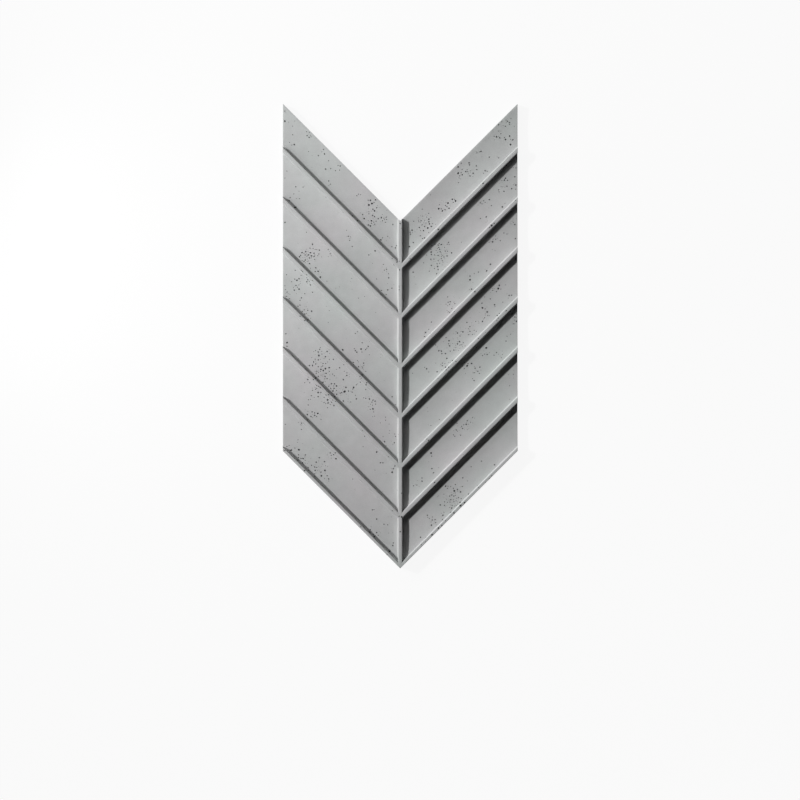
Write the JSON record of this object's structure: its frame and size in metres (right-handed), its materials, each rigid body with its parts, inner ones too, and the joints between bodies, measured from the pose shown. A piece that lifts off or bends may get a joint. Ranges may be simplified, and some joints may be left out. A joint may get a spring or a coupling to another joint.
{
  "type": "concrete cladding panel",
  "caption": "Chevron-shaped concrete wall cladding panel with a pointed tip and a matching notch, a raised spine and raised slanting ribs that frame shallow slat-shaped fields.",
  "frame": {"origin": "on the flat back, in the middle of the outline's bounding box", "axes": "+X across the panel, +Y along the spine from the tip towards the notch, +Z out of the ribbed face"},
  "size_m": [0.45, 0.8906, 0.023],
  "materials": {
    "concrete": "pale grey cast concrete, matt, with open air bubbles in its face"
  },
  "bodies": {
    "root": {"chevron_panel": "concrete"}
  },
  "joints": []
}
